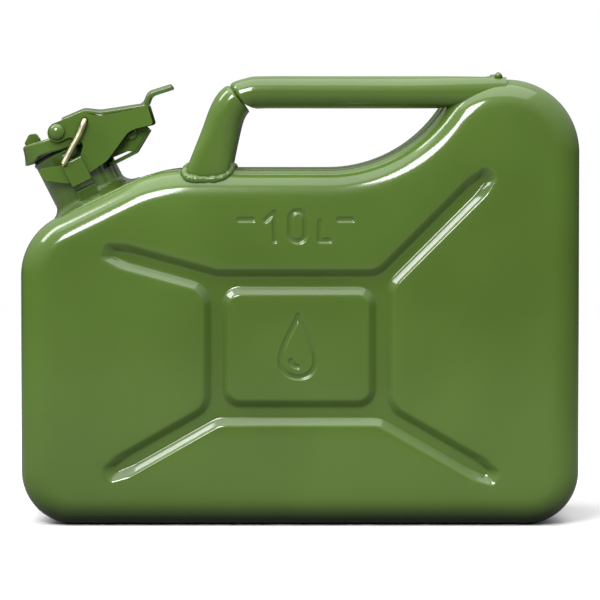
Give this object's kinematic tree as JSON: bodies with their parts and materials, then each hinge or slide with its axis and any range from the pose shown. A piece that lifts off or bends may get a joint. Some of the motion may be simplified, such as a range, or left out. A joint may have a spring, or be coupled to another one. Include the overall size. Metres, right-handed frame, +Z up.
{
  "type": "jerry can",
  "caption": "Pressed-steel fuel can with a slanted neck, a hinged lid clamped by a lever with a wire safety, and parallel tube handles.",
  "frame": {"origin": "middle of the bounding box at the base on which the can stands", "axes": "+X along the length towards the hump end, with the spout at -X; +Y from the front face to the rear face; +Z up"},
  "size_m": [0.3477, 0.148, 0.2799],
  "materials": {
    "green_paint": "gloss enamel",
    "plated_steel": "plated, satin",
    "zinc_wire": "yellow-zinc plated wire",
    "seal": "fuel-proof rubber, matt"
  },
  "bodies": {
    "can": {"body_half_front": "green_paint", "body_half_rear": "green_paint", "neck": "green_paint", "neck_weld": "green_paint", "vent_tube": "plated_steel", "hinge_bracket": "green_paint", "hinge_pin": "green_paint", "keeper_front": "green_paint", "keeper_rear": "green_paint", "handle_front": "green_paint", "handle_middle": "green_paint", "handle_rear": "green_paint", "foot_weld_front": "green_paint", "foot_weld_middle": "green_paint", "foot_weld_rear": "green_paint", "end_weld_front": "green_paint", "end_weld_middle": "green_paint", "end_weld_rear": "green_paint"},
    "lid": {"lid": "green_paint", "closure_disc": "plated_steel", "gasket": "seal", "disc_rivet": "green_paint", "lever_rivet_front": "green_paint", "lever_rivet_rear": "green_paint"},
    "lever": {"lever": "green_paint"},
    "wire": {"safety_wire": "zinc_wire"}
  },
  "joints": [
    {"name": "lid_hinge", "type": "hinge", "parent": "can", "child": "lid", "pos_m": [-0.10468, 0, 0.24149], "axis": [0, 1, 0], "range_deg": [0, 70]},
    {"name": "lever_pivot", "type": "hinge", "parent": "lid", "child": "lever", "pos_m": [-0.15067, 0, 0.24275], "axis": [0, -1, 0], "range_deg": [0, 110]},
    {"name": "wire_swing", "type": "hinge", "parent": "lever", "child": "wire", "pos_m": [-0.13332, 0, 0.24968], "axis": [0, -1, 0], "range_deg": [-15, 100]}
  ]
}
